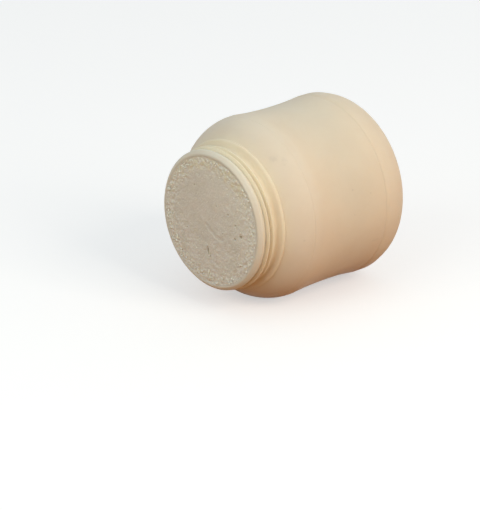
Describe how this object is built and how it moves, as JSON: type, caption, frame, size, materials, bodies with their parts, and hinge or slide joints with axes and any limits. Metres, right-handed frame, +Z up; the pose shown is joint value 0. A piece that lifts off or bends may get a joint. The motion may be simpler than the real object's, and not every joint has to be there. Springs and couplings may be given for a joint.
{
  "type": "tulum cheese in a jar",
  "caption": "Crumbly white cheese packed to the brim of a wide-mouthed plastic screw jar that lies on its side with its lid off.",
  "frame": {"origin": "under the middle of the jar, on the surface that it lies on, halfway along its length", "axes": "+Y along the jar's axis from the mouth to the base, +Z up, +X to the right of someone who looks into the mouth"},
  "size_m": [0.1208, 0.1225, 0.1205],
  "materials": {
    "jar_plastic": "milky, slightly translucent blow-moulded plastic with a satin skin",
    "cheese_paste": null
  },
  "bodies": {
    "root": {"jar": "jar_plastic", "cheese": "cheese_paste"}
  },
  "joints": []
}
